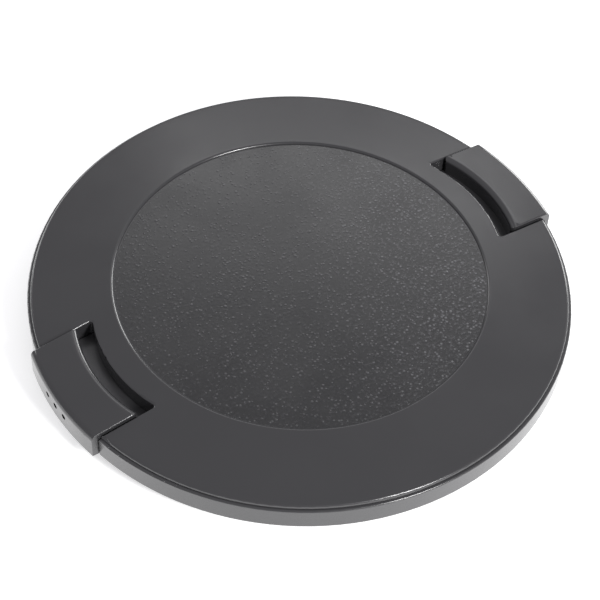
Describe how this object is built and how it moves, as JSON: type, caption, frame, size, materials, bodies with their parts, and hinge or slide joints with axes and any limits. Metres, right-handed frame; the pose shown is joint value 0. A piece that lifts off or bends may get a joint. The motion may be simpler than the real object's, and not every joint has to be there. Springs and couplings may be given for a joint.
{
  "type": "lens cap",
  "caption": "Round clip-on lens cap with a textured centre, a smooth ring and two sprung side buttons that release its thread grips.",
  "frame": {"origin": "centre of the spigot's end face, which stands on the ground plane", "axes": "+Z out of the cap's outer face, +X through the right-hand button along its slide"},
  "size_m": [0.0818, 0.08, 0.0076],
  "materials": {
    "cover_plastic": "satin moulded, fine grain, sparkling pebble texture in the centre",
    "latch_plastic": "satin moulded",
    "plate_plastic": "matt moulded",
    "spring_steel": "drawn wire"
  },
  "bodies": {
    "cap": {"front_cover": "cover_plastic", "back_plate": "plate_plastic", "spring_right_upper": "spring_steel", "spring_right_lower": "spring_steel", "spring_left_upper": "spring_steel", "spring_left_lower": "spring_steel"},
    "right_latch": {"latch_right": "latch_plastic"},
    "left_latch": {"latch_left": "latch_plastic"}
  },
  "joints": [
    {"name": "right_button_press", "type": "slide", "parent": "cap", "child": "right_latch", "axis": [-1, 0, 0], "range_m": [0, 0.0022], "stiffness_N_per_m": 1600, "springref_m": -0.001, "deforming": ["spring_right_upper", "spring_right_lower"]},
    {"name": "left_button_press", "type": "slide", "parent": "cap", "child": "left_latch", "axis": [1, 0, 0], "range_m": [0, 0.0022], "stiffness_N_per_m": 1600, "springref_m": -0.001, "deforming": ["spring_left_upper", "spring_left_lower"]}
  ]
}
